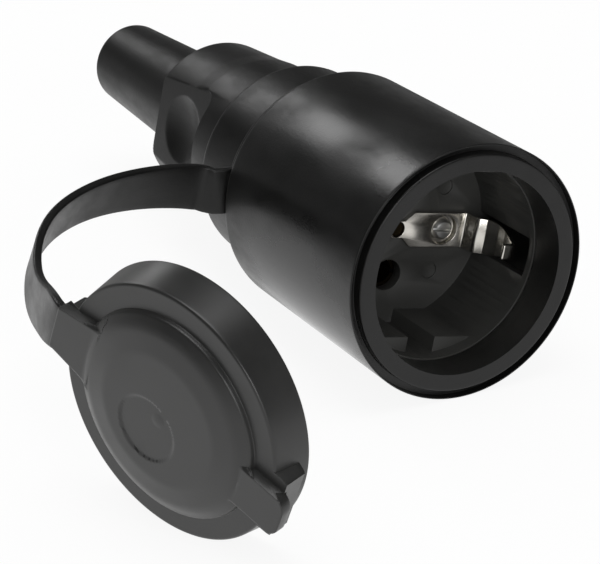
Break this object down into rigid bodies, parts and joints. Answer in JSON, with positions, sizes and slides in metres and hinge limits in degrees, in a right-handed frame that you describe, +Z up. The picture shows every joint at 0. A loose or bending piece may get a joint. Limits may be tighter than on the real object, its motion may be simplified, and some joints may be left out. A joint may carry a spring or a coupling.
{
  "type": "inline mains socket connector",
  "caption": "Round rubber inline mains socket with a recessed plug well, side earth clips, a tapering cable grip and a captive push-on closing lid on a flexible strap",
  "frame": {"origin": "centre of the round mouth, on the body's axis", "axes": "-Y is the way the mouth faces and the way a plug leaves, the cable leaves at +Y, +Z is up; the body lies on its side, rolled 11 degrees about Y, and rests on its barrel and on the lid's rim"},
  "size_m": [0.1114, 0.1915, 0.05],
  "materials": {
    "housing_rubber": "semi-matte moulded black rubber",
    "lid_rubber": "semi-matte moulded black rubber",
    "insert_plastic": "smooth black moulded plastic",
    "carrier_plastic": "matte black moulded plastic",
    "contact_brass": "drawn brass",
    "spring_steel": "spring steel",
    "nickel_strip": "bright nickel-plated sheet",
    "screw_steel": "zinc-plated steel"
  },
  "bodies": {
    "connector": {"rubber_housing": "housing_rubber", "lid_strap": "lid_rubber", "socket_insert": "insert_plastic", "contact_carrier": "carrier_plastic", "clamp_saddle": "carrier_plastic", "contact_upper": "contact_brass", "contact_lower": "contact_brass", "earth_terminal": "contact_brass", "contact_ring_upper": "spring_steel", "contact_ring_lower": "spring_steel", "earth_strip": "nickel_strip", "strip_screw_left": "screw_steel", "strip_screw_right": "screw_steel", "terminal_screw_upper": "screw_steel", "terminal_screw_lower": "screw_steel", "earth_terminal_screw": "screw_steel", "clamp_screw_left": "screw_steel", "clamp_screw_right": "screw_steel", "clamp_nut_left": "contact_brass", "clamp_nut_right": "contact_brass"},
    "lid": {"lid": "lid_rubber"}
  },
  "joints": [
    {"name": "lid_strap_bend", "type": "hinge", "parent": "connector", "child": "lid", "pos_m": [-0.05067, 0.03746, 0.0032], "axis": [-0.055, 0.1295, 0.9901], "range_deg": [0, 71.62], "stiffness_Nm_per_rad": 0.003, "deforming": ["lid_strap"]}
  ]
}
